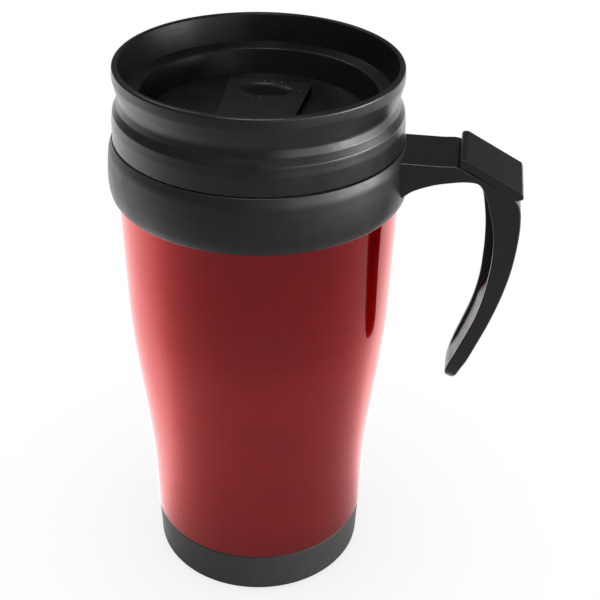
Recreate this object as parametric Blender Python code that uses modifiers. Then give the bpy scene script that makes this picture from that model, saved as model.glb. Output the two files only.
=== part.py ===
"""Insulated travel mug with a screw-on lid, a sliding sip closure and a C handle.

Axes: +Z up the mug's own axis, origin at the centre of the foot, handle along +X, sip opening
towards -Y. Every number below is in millimetres and is turned into metres by the helpers.
"""

import math

import bmesh
import bpy
from mathutils import Matrix, Vector

MM = 0.001
SEG = 48                      # facets round every turned piece, all in the same phase
GAP = 0.3                     # clearance between pieces that touch on the real mug

# Heights of the main breaks, measured from the table.
Z_BASE_TOP = 15.8
Z_COLLAR_BOTTOM = 138.5
Z_SEAM = 156.2
Z_TOP = 179.0

# Base cup and foot pad.
FOOT_R = 29.7
FOOT_T = 2.1
BASE_RIM_Z = 0.5
BASE_FLOOR = (2.4, 4.4)
BASE_R_BOTTOM = 35.3
BASE_R_TOP = 35.9
BASE_WALL = 2.0
BASE_ROUND = 1.6

# Outer shell: a slow taper below, an S curve in the middle, nearly straight above.
SHELL_R_LOW = 36.1
SHELL_SLOPE = 0.026
SHELL_SWELL = 4.1
SHELL_SWELL_Z = (32.0, 102.0)
SHELL_WALL = 2.0
SHELL_RINGS = 15
SHELL_SPIGOT_R = 42.3
SHELL_STEP = 1.5              # height of the step between the wall and the mouth
SHELL_FOOT_STEP = 4.0         # the same inside, between the wall and the foot
SHELL_TOP_Z = 141.9
SHELL_FLOOR = (4.7, 6.5)

# Steel liner.
LINER_WALL = 0.6
LINER_FLOOR_Z = 8.6
LINER_R_BOTTOM = 30.8
LINER_R_TOP = 38.2
LINER_CORNER = 5.0
LINER_STRAIGHT_Z = 122.0      # the wall is a cone below this height and a cylinder above it
LINER_FLANGE_Z = (143.7, 144.3)

# Collar and thread.
COLLAR_SOCKET_R = 42.6
COLLAR_SHOULDER = (144.6, 146.4)
COLLAR_SHOULDER_R = 39.6
COLLAR_BORE_R = 41.75
COLLAR_REBATE_R = 43.0
COLLAR_REBATE_Z = 155.0
PITCH = 4.0
THREAD_HALF_ROOT = 0.9
THREAD_HALF_CREST = 0.45
THREAD_BITE = 0.4             # how far a thread's root is sunk into the wall behind it
COLLAR_THREAD_CREST = 40.65
COLLAR_THREAD_START_Z = 148.6
COLLAR_THREAD_TURNS = 1.25

# Lid plug and its thread.
PLUG_R = 40.25
PLUG_INNER_R = 38.2
PLUG_BOTTOM_Z = 146.9
PLUG_FLOOR_T = 1.8
PLUG_FLANGE_R = 42.6
PLUG_FLANGE_Z = (157.2, 158.8)
PLUG_NECK_R = 40.0
PLUG_TOP_Z = 165.5
PLUG_THREAD_CREST = 41.35
PLUG_THREAD_TURNS = 1.0
PLUG_THREAD_START_DEG = 180.0
PLUG_HOLES = ((-24.0, 9.0, 4.0), (22.0, 2.5, 2.5))    # (centre y, half x, half y): pouring hole and vent

# Deck of the lid, slider and its parts.
DECK = (159.7, 161.7)
DECK_R = 33.2
SLIDER_Z = (162.0, 164.2)
SLIDER_Y = (-31.0, 21.2)
SLIDER_HALF = (9.8, 13.2)     # half widths at the sip end and at the finger end
SLIDER_CORNER = 1.4
SLIDER_EDGE = 0.35
FINGER_Y = 14.4
FINGER_RADII = (8.6, 5.3)
FINGER_DEPTH = 1.3
NECK_HALF_X = 2.0
NECK_Y = (-4.0, 8.0)
NECK_BOTTOM_Z = 157.0
SLIDER_TRAVEL = 8.0
SIP_HALF_X = 6.5
SIP_Y = (-29.2, -24.2)
SEAL_MARGIN = 1.2
SEAL_T = 1.0
CLIP_Z = (157.3, 159.4)
CLIP_HALF_X = 6.0
CLIP_Y = (-7.0, 11.0)

# Handle and thumb rest.
ARM_TOP_Z = 154.6
HANDLE_SIDE_WALL = 2.2
HANDLE_EDGE = 0.9
SEAT_Z = (130.0, 160.2)       # how far the cut that seats the handle on the collar reaches
TONGUE_HALF_Y = 6.0
TONGUE_Z = (147.3, 152.3)
TONGUE_X = (43.5, 48.0)
PAD_HALF_Y = 10.7
PAD_RIDGE = (62.0, 157.1)
PAD_END = (79.5, 147.9)
PAD_TAIL = (78.0, 145.9)
PAD_EDGE = 0.4
PEG_X = (72.0, 76.0)
PEG_HALF_Y = 4.0
PEG_Z = (143.9, 148.5)


# ---------------------------------------------------------------- helpers

def clear_scene():
    for obj in list(bpy.data.objects):
        bpy.data.objects.remove(obj, do_unlink=True)


def make_material(name, color, roughness, metallic):
    material = bpy.data.materials.new(name)
    material.use_nodes = True
    shader = material.node_tree.nodes["Principled BSDF"]
    shader.inputs["Base Color"].default_value = (*color, 1.0)
    shader.inputs["Roughness"].default_value = roughness
    shader.inputs["Metallic"].default_value = metallic
    return material


def new_object(name, mesh, collection):
    obj = bpy.data.objects.new(name, mesh)
    collection.objects.link(obj)
    return obj


def freeze(obj):
    """Replaces an object's mesh by its evaluated one, so that no modifier is left on it."""
    bpy.context.view_layer.update()
    graph = bpy.context.evaluated_depsgraph_get()
    mesh = bpy.data.meshes.new_from_object(obj.evaluated_get(graph), depsgraph=graph)
    obj.modifiers.clear()
    obj.data = mesh
    return obj


def finish_mesh(work, mesh):
    bmesh.ops.remove_doubles(work, verts=work.verts, dist=1e-7)
    bmesh.ops.recalc_face_normals(work, faces=work.faces)
    work.to_mesh(mesh)
    work.free()


def turned(name, profile, collection):
    """Turns a profile of (radius, height) points. It runs down the outer side, top to bottom."""
    closed = profile[0][0] > 0
    count = len(profile)
    edges = [(i, i + 1) for i in range(count - 1)]
    if closed:
        edges.append((count - 1, 0))
    mesh = bpy.data.meshes.new(name)
    mesh.from_pydata([(r * MM, 0.0, z * MM) for r, z in profile], edges, [])
    obj = new_object(name, mesh, collection)
    screw = obj.modifiers.new("turn", "SCREW")
    screw.angle = math.tau
    screw.steps = SEG
    screw.render_steps = SEG
    screw.use_merge_vertices = True
    screw.merge_threshold = 1e-6
    return freeze(obj)


def arc(center, radius, start, end, steps):
    """Points on an arc in the profile plane, angles in degrees from +radius towards +height."""
    points = []
    for i in range(steps + 1):
        angle = math.radians(start + (end - start) * i / steps)
        points.append((center[0] + radius * math.cos(angle), center[1] + radius * math.sin(angle)))
    return points


def curve_to_mesh(curve, collection):
    """Swaps a filled curve for the welded mesh it draws, so that it can be cut and joined."""
    bpy.context.view_layer.update()
    graph = bpy.context.evaluated_depsgraph_get()
    mesh = bpy.data.meshes.new_from_object(curve.evaluated_get(graph), depsgraph=graph)
    work = bmesh.new()
    work.from_mesh(mesh)
    finish_mesh(work, mesh)
    name = curve.name
    matrix = curve.matrix_world.copy()
    bpy.data.objects.remove(curve, do_unlink=True)
    obj = new_object(name, mesh, collection)
    obj.matrix_world = matrix
    return obj


def slab(name, outline, low, high, collection):
    """A flat piece: an outline of (x, y) points, from height low to height high."""
    middle = Matrix.Translation((0.0, 0.0, (low + high) / 2 * MM))
    return extruded(name, outline, (high - low) / 2, middle, collection)


def extruded(name, outline, half_thickness, matrix, collection):
    data = bpy.data.curves.new(name, "CURVE")
    data.dimensions = "2D"
    data.fill_mode = "BOTH"
    data.extrude = half_thickness * MM
    spline = data.splines.new("POLY")
    spline.points.add(len(outline) - 1)
    for point, (x, y) in zip(spline.points, outline):
        point.co = (x * MM, y * MM, 0.0, 1.0)
    spline.use_cyclic_u = True
    curve = new_object(name, data, collection)
    curve.matrix_world = matrix
    return curve_to_mesh(curve, collection)


def block(name, x, y, z, collection):
    """A box between the given (low, high) pairs."""
    mesh = bpy.data.meshes.new(name)
    work = bmesh.new()
    bmesh.ops.create_cube(work, size=1.0)
    bmesh.ops.scale(work, vec=[(high - low) * MM for low, high in (x, y, z)], verts=work.verts)
    bmesh.ops.translate(work, vec=[(high + low) / 2 * MM for low, high in (x, y, z)], verts=work.verts)
    finish_mesh(work, mesh)
    return new_object(name, mesh, collection)


def round_edges(obj, width):
    """Bevels an object's sharp edges in one step."""
    bevel = obj.modifiers.new("edges", "BEVEL")
    bevel.width = width * MM
    bevel.segments = 1
    bevel.limit_method = "ANGLE"
    bevel.angle_limit = math.radians(60)
    return freeze(obj)


def rounded_outline(corners, radius, steps=4):
    """Rounds each corner of a convex, counter-clockwise outline of (x, y) points."""
    points = []
    count = len(corners)
    for i in range(count):
        here = Vector(corners[i])
        before = (Vector(corners[i - 1]) - here).normalized()
        after = (Vector(corners[(i + 1) % count]) - here).normalized()
        half = before.angle(after) / 2
        center = here + (before + after).normalized() * radius / math.sin(half)
        first = here + before * radius / math.tan(half) - center
        sweep = math.pi - 2 * half
        for k in range(steps + 1):
            turn = sweep * k / steps
            cos, sin = math.cos(turn), math.sin(turn)
            points.append((center.x + first.x * cos - first.y * sin,
                           center.y + first.x * sin + first.y * cos))
    return points


def ellipse_outline(center_y, half_x, half_y, steps=24):
    return [(half_x * math.cos(math.tau * k / steps), center_y + half_y * math.sin(math.tau * k / steps))
            for k in range(steps)]


def boolean(target, tool, operation):
    modifier = target.modifiers.new(operation.lower(), "BOOLEAN")
    modifier.operation = operation
    modifier.solver = "EXACT"
    modifier.object = tool
    freeze(target)
    bpy.data.objects.remove(tool, do_unlink=True)
    return target


def thread(name, crest_r, root_r, start_z, start_deg, turns, collection):
    """A right-hand ridge of trapezoid section. Its root is sunk THREAD_BITE into the wall."""
    into_wall = THREAD_BITE if root_r > crest_r else -THREAD_BITE
    steps = round(turns * SEG)
    section = [
        (root_r + into_wall, -THREAD_HALF_ROOT),
        (root_r, -THREAD_HALF_ROOT),
        (crest_r, -THREAD_HALF_CREST),
        (crest_r, THREAD_HALF_CREST),
        (root_r, THREAD_HALF_ROOT),
        (root_r + into_wall, THREAD_HALF_ROOT),
    ]
    work = bmesh.new()
    rings = []
    for i in range(steps + 1):
        angle = math.radians(start_deg) + math.tau * i / SEG
        rise = start_z + PITCH * i / SEG
        rings.append([work.verts.new((r * MM * math.cos(angle), r * MM * math.sin(angle), (rise + z) * MM))
                      for r, z in section])
    skin_rings(work, rings)
    mesh = bpy.data.meshes.new(name)
    finish_mesh(work, mesh)
    return new_object(name, mesh, collection)


def skin_rings(work, rings):
    """Joins equal rings of vertices into a tube and closes both of its ends."""
    count = len(rings[0])
    for ring, following in zip(rings, rings[1:]):
        for k in range(count):
            after = (k + 1) % count
            work.faces.new((ring[k], ring[after], following[after], following[k]))
    work.faces.new(rings[0])
    work.faces.new(rings[-1])


# ---------------------------------------------------------------- mug body

def shell_radius(z):
    low, high = SHELL_SWELL_Z
    t = min(max((z - low) / (high - low), 0.0), 1.0)
    return SHELL_R_LOW + SHELL_SLOPE * (z - Z_BASE_TOP) + SHELL_SWELL * t * t * (3 - 2 * t)


def base_foot_pad(collection):
    profile = [(0, FOOT_T), (FOOT_R, FOOT_T), (FOOT_R, 0), (0, 0)]
    return turned("base_foot_pad", profile, collection)


def base_cap(collection):
    socket_r = BASE_R_TOP - BASE_WALL
    pocket_r = FOOT_R + GAP
    center = (BASE_R_BOTTOM - BASE_ROUND, BASE_RIM_Z + BASE_ROUND)
    foot_round = arc(center, BASE_ROUND, 0, -90, 3)
    profile = [
        (0, BASE_FLOOR[1]),
        (socket_r, BASE_FLOOR[1]),
        (socket_r, Z_BASE_TOP),
        (BASE_R_TOP, Z_BASE_TOP),
        *foot_round,
        (pocket_r, BASE_RIM_Z),
        (pocket_r, BASE_FLOOR[0]),
        (0, BASE_FLOOR[0]),
    ]
    return turned("base_cap", profile, collection)


def outer_shell(collection):
    """A cup whose foot plugs into the base and whose stepped-in mouth plugs into the collar."""
    foot_r = BASE_R_TOP - BASE_WALL - GAP
    low = Z_BASE_TOP + GAP
    high = Z_COLLAR_BOTTOM - GAP
    heights = [low + (high - low) * i / SHELL_RINGS for i in range(SHELL_RINGS + 1)]
    outside = [(shell_radius(z), z) for z in reversed(heights)]
    inside = [(shell_radius(z) - SHELL_WALL, z) for z in heights if z > low + SHELL_FOOT_STEP]
    profile = [
        (0, SHELL_FLOOR[1]),
        (foot_r - SHELL_WALL, SHELL_FLOOR[1]),
        (foot_r - SHELL_WALL, low),
        *inside,
        (SHELL_SPIGOT_R - SHELL_WALL, high + SHELL_STEP),
        (SHELL_SPIGOT_R - SHELL_WALL, SHELL_TOP_Z),
        (SHELL_SPIGOT_R, SHELL_TOP_Z),
        (SHELL_SPIGOT_R, high),
        *outside,
        (foot_r, low),
        (foot_r, SHELL_FLOOR[0]),
        (0, SHELL_FLOOR[0]),
    ]
    return turned("outer_shell", profile, collection)


def inner_liner(collection):
    """A drawn steel cup with a rounded bottom corner and a flat flange clamped by the collar."""
    low, high = LINER_FLANGE_Z
    floor_top = LINER_FLOOR_Z + LINER_WALL
    corner = (LINER_R_BOTTOM - LINER_CORNER, LINER_FLOOR_Z + LINER_CORNER)
    flange_r = SHELL_SPIGOT_R
    profile = [
        (0, floor_top),
        *arc(corner, LINER_CORNER - LINER_WALL, -90, 0, 4),
        (LINER_R_TOP - LINER_WALL, LINER_STRAIGHT_Z),
        (LINER_R_TOP - LINER_WALL, high - 0.5),
        (LINER_R_TOP - LINER_WALL + 0.5, high),
        (flange_r, high),
        (flange_r, low),
        (LINER_R_TOP + 0.2, low),
        (LINER_R_TOP, low - 0.3),
        (LINER_R_TOP, LINER_STRAIGHT_Z),
        *arc(corner, LINER_CORNER, 0, -90, 4),
        (0, LINER_FLOOR_Z),
    ]
    return turned("inner_liner", profile, collection)


def liner_seal(collection):
    low = SHELL_TOP_Z + GAP
    high = LINER_FLANGE_Z[0] - GAP
    inner = SHELL_SPIGOT_R - SHELL_WALL
    profile = [(SHELL_SPIGOT_R, high), (SHELL_SPIGOT_R, low), (inner, low), (inner, high)]
    return turned("liner_seal", profile, collection)


def barrel_profile(offset=0.0):
    """The collar's outer side from the seam down to its lower lip."""
    side = [(44.1, Z_SEAM), (44.6, Z_SEAM - 0.5), (45.1, 153.4), (45.6, 149.2), (45.85, 144.6),
            (45.6, 141.2), (45.1, 139.3), (44.4, Z_COLLAR_BOTTOM)]
    return [(r + offset, z) for r, z in side]


def collar_ring(collection):
    shoulder_low, shoulder_high = COLLAR_SHOULDER
    profile = [
        *barrel_profile(),
        (COLLAR_SOCKET_R, Z_COLLAR_BOTTOM),
        (COLLAR_SOCKET_R, shoulder_low),
        (COLLAR_SHOULDER_R, shoulder_low),
        (COLLAR_SHOULDER_R, shoulder_high),
        (COLLAR_BORE_R, shoulder_high),
        (COLLAR_BORE_R, COLLAR_REBATE_Z),
        (COLLAR_REBATE_R, COLLAR_REBATE_Z),
        (COLLAR_REBATE_R, Z_SEAM),
    ]
    ring = turned("collar_ring", profile, collection)
    ridge = thread("ridge", COLLAR_THREAD_CREST, COLLAR_BORE_R, COLLAR_THREAD_START_Z, 0.0,
                   COLLAR_THREAD_TURNS, collection)
    boolean(ring, ridge, "UNION")
    socket = block("socket", (TONGUE_X[0] - GAP, TONGUE_X[1]), (-TONGUE_HALF_Y - GAP, TONGUE_HALF_Y + GAP),
                   (TONGUE_Z[0] - GAP, TONGUE_Z[1] + GAP), collection)
    return boolean(ring, socket, "DIFFERENCE")


# ---------------------------------------------------------------- handle

def handle_stations():
    """(inner point, outer point, half width, channel depth, skew) from the collar to the tip.

    The points are (x, z). The skew is how much further the channel's rim on the +Y side stands in
    towards the mug than the rim on the -Y side.
    """
    return [
        ((42.0, 140.6), (42.0, ARM_TOP_Z), 10.8, 0.0, 0.0),
        ((45.9, 144.3), (46.8, ARM_TOP_Z), 10.8, 0.0, 0.0),
        ((48.6, 146.1), (50.0, ARM_TOP_Z), 10.8, 3.0, 0.0),
        ((53.6, 148.1), (55.0, ARM_TOP_Z), 10.8, 2.4, 0.0),
        ((58.7, 149.3), (60.2, ARM_TOP_Z), 10.8, 0.0, 0.0),
        ((62.8, 149.9), (66.0, 151.6), 10.7, 0.0, 0.0),
        ((66.2, 149.5), (72.0, 148.4), 10.6, 0.0, 0.8),
        ((68.0, 145.8), (77.4, 145.6), 10.5, 0.0, 2.0),
        ((69.2, 141.2), (79.4, 142.2), 10.3, 0.0, 2.6),
        ((70.5, 136.2), (80.1, 136.4), 10.1, 4.6, 2.8),
        ((71.5, 129.6), (80.0, 130.0), 9.8, 4.4, 2.6),
        ((71.8, 123.4), (79.5, 123.4), 9.4, 3.8, 2.3),
        ((71.6, 117.0), (78.5, 116.6), 9.0, 3.0, 1.8),
        ((70.9, 109.4), (76.7, 108.4), 8.4, 2.0, 1.2),
        ((69.2, 101.0), (74.1, 99.4), 7.8, 1.3, 0.8),
        ((66.6, 93.0), (71.1, 90.8), 7.3, 0.9, 0.5),
        ((64.5, 87.0), (68.9, 84.8), 7.0, 0.7, 0.3),
        ((63.0, 82.4), (67.1, 80.8), 6.4, 0.0, 0.0),
        ((62.2, 78.8), (66.0, 77.6), 5.2, 0.0, 0.0),
        ((62.4, 76.4), (65.0, 75.4), 3.2, 0.0, 0.0),
    ]


def handle(collection):
    """A channel section, open towards the mug, swept round the C from the collar to the tip."""
    work = bmesh.new()
    rings = []
    for inner, outer, half, depth, skew in handle_stations():
        low = Vector((inner[0], 0.0, inner[1]))
        high = Vector((outer[0], 0.0, outer[1]))
        across = (high - low).normalized()
        edge = min(HANDLE_EDGE, half / 4)
        web = half - min(HANDLE_SIDE_WALL, half / 2)
        near = low + across * skew / 2
        far = low - across * skew / 2
        floor = low + across * depth
        corners = [
            (far, half), (high - across * edge, half), (high, half - edge),
            (high, edge - half), (high - across * edge, -half), (near, -half),
            (near, -web), (floor, -web) if depth else (near, -web),
            (floor, web) if depth else (far, web), (far, web),
        ]
        rings.append([work.verts.new((p.x * MM, y * MM, p.z * MM)) for p, y in corners])
    skin_rings(work, rings)
    mesh = bpy.data.meshes.new("handle")
    finish_mesh(work, mesh)
    grip = new_object("handle", mesh, collection)
    seat = barrel_profile(GAP)
    seat = [(0, SEAT_Z[1]), (seat[0][0], SEAT_Z[1]), *seat, (seat[-1][0], SEAT_Z[0]), (0, SEAT_Z[0])]
    boolean(grip, turned("seat", seat, collection), "DIFFERENCE")
    tongue = block("tongue", TONGUE_X, (-TONGUE_HALF_Y, TONGUE_HALF_Y), TONGUE_Z, collection)
    boolean(grip, tongue, "UNION")
    hole = block("hole", (PEG_X[0] - GAP, PEG_X[1] + GAP), (-PEG_HALF_Y - GAP, PEG_HALF_Y + GAP),
                 (PEG_Z[0] - GAP, ARM_TOP_Z + 1.0), collection)
    return boolean(grip, hole, "DIFFERENCE")


def thumb_rest(collection):
    """A sloping plate over the handle's corner, with a peg down into it."""
    ridge_x, ridge_z = PAD_RIDGE
    end_x, end_z = PAD_END
    side = [
        (60.5, ARM_TOP_Z + GAP), (60.7, ridge_z - 0.8), (61.2, ridge_z - 0.2), (ridge_x, ridge_z),
        (ridge_x + 0.9, ridge_z - 0.2), (end_x, end_z), (end_x + 0.7, end_z - 0.8),
        (end_x + 0.7, end_z - 1.7), (end_x + 0.2, end_z - 2.2), PAD_TAIL,
    ]
    upright = Matrix.Rotation(math.radians(90), 4, "X")
    pad = extruded("thumb_rest", side, PAD_HALF_Y, upright, collection)
    round_edges(pad, PAD_EDGE)
    peg = block("peg", PEG_X, (-PEG_HALF_Y, PEG_HALF_Y), PEG_Z, collection)
    return boolean(pad, peg, "UNION")


# ---------------------------------------------------------------- lid

def lid_body(collection):
    """Skirt, grip groove, drinking rim, ledge and deck, with the sip hole and the slider's slot."""
    profile = [
        (0, DECK[1]),
        (DECK_R, DECK[1]),
        (33.9, 162.3),
        (35.3, 169.0),
        (35.9, 169.8),
        (38.9, 170.2),
        (39.6, 171.0),
        (40.9, 177.4),
        (41.2, 178.5),
        (41.9, Z_TOP),
        (42.6, 178.5),
        (43.0, 177.0),
        (42.9, 174.6),
        (42.2, 172.3),
        (41.5, 170.4),
        (41.5, 169.0),
        (42.1, 167.2),
        (43.0, 165.6),
        (43.6, 164.6),
        (43.9, Z_SEAM + GAP),
        (PLUG_FLANGE_R + GAP, Z_SEAM + GAP),
        (PLUG_FLANGE_R + GAP, PLUG_FLANGE_Z[1] + GAP),
        (41.6, PLUG_FLANGE_Z[1] + GAP),
        (41.6, 164.0),
        (40.0, 167.2),
        (39.6, 168.2),
        (36.6, 168.2),
        (35.4, 160.6),
        (34.6, DECK[0]),
        (0, DECK[0]),
    ]
    body = turned("lid_body", profile, collection)
    through = (DECK[0] - 1.0, DECK[1] + 1.0)
    mouth = rounded_outline([(-SIP_HALF_X, SIP_Y[0]), (SIP_HALF_X, SIP_Y[0]),
                             (SIP_HALF_X, SIP_Y[1]), (-SIP_HALF_X, SIP_Y[1])], 2.0)
    boolean(body, slab("mouth", mouth, through[0], through[1], collection), "DIFFERENCE")
    slot_x = NECK_HALF_X + GAP
    slot_y = (NECK_Y[0] - GAP, NECK_Y[1] + SLIDER_TRAVEL + GAP)
    slot = block("slot", (-slot_x, slot_x), slot_y, through, collection)
    return boolean(body, slot, "DIFFERENCE")


def lid_plug(collection):
    """The threaded lower half of the lid, a cup with a pouring hole in its floor."""
    floor_z = PLUG_BOTTOM_Z + PLUG_FLOOR_T
    profile = [
        (0, floor_z),
        (PLUG_INNER_R - 0.6, floor_z),
        (PLUG_INNER_R, floor_z + 0.6),
        (PLUG_INNER_R, PLUG_TOP_Z),
        (PLUG_NECK_R, PLUG_TOP_Z),
        (PLUG_NECK_R, PLUG_FLANGE_Z[1]),
        (PLUG_FLANGE_R, PLUG_FLANGE_Z[1]),
        (PLUG_FLANGE_R, PLUG_FLANGE_Z[0]),
        (PLUG_R, PLUG_FLANGE_Z[0]),
        (PLUG_R, PLUG_BOTTOM_Z + 0.8),
        (PLUG_R - 0.8, PLUG_BOTTOM_Z),
        (0, PLUG_BOTTOM_Z),
    ]
    plug = turned("lid_plug", profile, collection)
    start_z = (COLLAR_THREAD_START_Z - PITCH / 2) + PITCH * PLUG_THREAD_START_DEG / 360
    ridge = thread("ridge", PLUG_THREAD_CREST, PLUG_R, start_z, PLUG_THREAD_START_DEG,
                   PLUG_THREAD_TURNS, collection)
    boolean(plug, ridge, "UNION")
    for hole_y, half_x, half_y in PLUG_HOLES:
        hole = slab("hole", ellipse_outline(hole_y, half_x, half_y, 20),
                    PLUG_BOTTOM_Z - 1.0, floor_z + 1.0, collection)
        boolean(plug, hole, "DIFFERENCE")
    return plug


def lid_gasket(collection):
    """A soft ring round the plug, squeezed between its flange and the collar's rebate."""
    inner = PLUG_R + GAP
    outer = COLLAR_REBATE_R - GAP
    low = COLLAR_REBATE_Z + GAP
    high = PLUG_FLANGE_Z[0] - GAP
    profile = [(outer, high), (outer, low + 0.5), (outer - 0.5, low), (inner, low), (inner, high)]
    return turned("lid_gasket", profile, collection)


def sip_slider(collection):
    """The plate that is pushed back by a fingertip: finger dish on top, seal pocket and neck below."""
    low, high = SLIDER_Z
    front, back = SLIDER_Y
    corners = [(-SLIDER_HALF[0], front), (SLIDER_HALF[0], front),
               (SLIDER_HALF[1], back), (-SLIDER_HALF[1], back)]
    plate = slab("sip_slider", rounded_outline(corners, SLIDER_CORNER), low, high, collection)
    round_edges(plate, SLIDER_EDGE)
    dish = slab("dish", ellipse_outline(FINGER_Y, *FINGER_RADII), high - FINGER_DEPTH, high + 1.0, collection)
    boolean(plate, dish, "DIFFERENCE")
    pocket = slab("pocket", seal_outline(SEAL_MARGIN + GAP), low - 1.0, low + SEAL_T + GAP, collection)
    boolean(plate, pocket, "DIFFERENCE")
    neck = block("neck", (-NECK_HALF_X, NECK_HALF_X), NECK_Y, (NECK_BOTTOM_Z, low + 0.5), collection)
    return boolean(plate, neck, "UNION")


def seal_outline(margin):
    x = SIP_HALF_X + margin
    return rounded_outline([(-x, SIP_Y[0] - margin), (x, SIP_Y[0] - margin),
                            (x, SIP_Y[1] + margin), (-x, SIP_Y[1] + margin)], 2.0 + margin)


def slider_seal(collection):
    low = SLIDER_Z[0]
    return slab("slider_seal", seal_outline(SEAL_MARGIN), low, low + SEAL_T, collection)


def slider_clip(collection):
    """A plate under the deck that holds the slider down by its neck."""
    corners = [(-CLIP_HALF_X, CLIP_Y[0]), (CLIP_HALF_X, CLIP_Y[0]),
               (CLIP_HALF_X, CLIP_Y[1]), (-CLIP_HALF_X, CLIP_Y[1])]
    clip = slab("slider_clip", rounded_outline(corners, 1.5, 3), CLIP_Z[0], CLIP_Z[1], collection)
    hole_x = NECK_HALF_X + GAP
    hole = block("hole", (-hole_x, hole_x), (NECK_Y[0] - GAP, NECK_Y[1] + GAP),
                 (CLIP_Z[0] - 1.0, CLIP_Z[1] + 1.0), collection)
    return boolean(clip, hole, "DIFFERENCE")


# ---------------------------------------------------------------- assembly

BLACK = ((0.028, 0.028, 0.030), 0.42)
PIECES = [
    (base_foot_pad, "foot_rubber", (0.02, 0.02, 0.02), 0.85, 0.0),
    (base_cap, "base_plastic", (0.045, 0.045, 0.047), 0.50, 0.0),
    (outer_shell, "red_clear_plastic", (0.45, 0.012, 0.02), 0.12, 0.0),
    (inner_liner, "liner_steel", (0.62, 0.61, 0.60), 0.28, 1.0),
    (liner_seal, "liner_seal_rubber", (0.55, 0.55, 0.55), 0.70, 0.0),
    (collar_ring, "collar_plastic", *BLACK, 0.0),
    (handle, "handle_plastic", *BLACK, 0.0),
    (thumb_rest, "thumb_rest_plastic", *BLACK, 0.0),
    (lid_body, "lid_plastic", *BLACK, 0.0),
    (lid_plug, "plug_plastic", *BLACK, 0.0),
    (lid_gasket, "gasket_rubber", (0.50, 0.50, 0.50), 0.70, 0.0),
    (sip_slider, "slider_plastic", *BLACK, 0.0),
    (slider_seal, "slider_seal_rubber", (0.50, 0.50, 0.50), 0.70, 0.0),
    (slider_clip, "clip_plastic", *BLACK, 0.0),
]


# Each moving piece hangs from an empty that sits on its joint's axis.
JOINTS = [
    ("lid_lift_axis", None, (0.0, 0.0, COLLAR_REBATE_Z), ["lid_gasket"]),
    ("lid_turn_axis", "lid_lift_axis", (0.0, 0.0, Z_SEAM), ["lid_body", "lid_plug"]),
    ("slider_axis", "lid_turn_axis", (0.0, 0.0, DECK[1]), ["sip_slider", "slider_seal", "slider_clip"]),
]


def hang(child, parent):
    """Parents an object and leaves it where it is."""
    bpy.context.view_layer.update()
    child.parent = parent
    child.matrix_parent_inverse = parent.matrix_world.inverted()


def add_joint_empties(collection):
    for name, parent, place, pieces in JOINTS:
        empty = new_object(name, None, collection)
        empty.location = [value * MM for value in place]
        if parent:
            hang(empty, bpy.data.objects[parent])
        for piece in pieces:
            hang(bpy.data.objects[piece], empty)


def main():
    clear_scene()
    collection = bpy.data.collections.new("insulated_travel_mug")
    bpy.context.scene.collection.children.link(collection)
    for build, slot, color, roughness, metallic in PIECES:
        obj = build(collection)
        obj.data.materials.clear()
        obj.data.materials.append(make_material(slot, color, roughness, metallic))
        obj.data.shade_smooth()
        obj.data.set_sharp_from_angle(angle=math.radians(30))
    add_joint_empties(collection)


main()
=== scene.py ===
"""Looks of the insulated travel mug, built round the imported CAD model.

Every CAD node gets a finer piece of the same size on the same body. Lengths are in millimetres and
become metres in the helpers. +Z is up the mug's axis, the handle is at +X, the sip hole at -Y.
"""

import math

import bmesh
import bpy
from mathutils import Matrix, Vector

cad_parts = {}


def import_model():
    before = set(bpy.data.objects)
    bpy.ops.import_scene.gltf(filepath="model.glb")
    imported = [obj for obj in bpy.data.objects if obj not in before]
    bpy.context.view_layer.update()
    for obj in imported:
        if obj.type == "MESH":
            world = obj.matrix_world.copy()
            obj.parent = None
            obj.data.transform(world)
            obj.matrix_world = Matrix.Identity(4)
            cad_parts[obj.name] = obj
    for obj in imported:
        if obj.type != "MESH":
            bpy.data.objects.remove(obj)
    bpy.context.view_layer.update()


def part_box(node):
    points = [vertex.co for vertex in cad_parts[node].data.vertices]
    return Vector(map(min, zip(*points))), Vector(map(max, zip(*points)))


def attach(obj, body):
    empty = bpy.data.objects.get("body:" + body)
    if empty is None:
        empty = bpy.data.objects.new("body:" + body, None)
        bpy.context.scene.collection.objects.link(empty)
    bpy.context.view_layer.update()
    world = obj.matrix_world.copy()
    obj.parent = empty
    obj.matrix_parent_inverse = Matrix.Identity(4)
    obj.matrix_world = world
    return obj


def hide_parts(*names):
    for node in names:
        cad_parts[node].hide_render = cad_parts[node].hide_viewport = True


MM = 0.001
GAP = 0.3                       # clearance between neighbouring pieces, as in the CAD
SEG = 192                       # segments round a turned piece
ARC_STEPS = 5                   # segments in a rounded corner
WELD = 1e-6                     # vertices closer than this many metres are one
OVERSHOOT = 1.0                 # how far a cutting tool stands out of the piece that it cuts

# Sizes inside the pieces that their CAD boxes don't give. A pair ending in _X, _Y or _Z is a range.
SOLE_GROOVES = 4
SOLE_GROOVE_DEPTH = 0.5
BASE_WALL = 2.0
BASE_FLOOR_T = 2.0
BASE_ROUND = 1.6

SHELL_R_LOW = 36.1
SHELL_SLOPE = 0.026
SHELL_SWELL = 4.1
SHELL_SWELL_Z = (32.0, 102.0)
SHELL_WALL = 2.0
SHELL_FLOOR_T = 1.8
SHELL_RINGS = 40
SHELL_SPIGOT_R = 42.3
SHELL_STEP = 1.5                # height of the step between the wall and the mouth
SHELL_FOOT_STEP = 4.0           # the same inside, between the wall and the foot

LINER_WALL = 0.6
LINER_R_BOTTOM = 30.8
LINER_R_TOP = 38.2
LINER_CORNER = 5.0
LINER_STRAIGHT_Z = 122.0        # the wall is a cone below this height and a cylinder above it
LINER_BEND = 60.0               # radius of the bend between them

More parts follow.
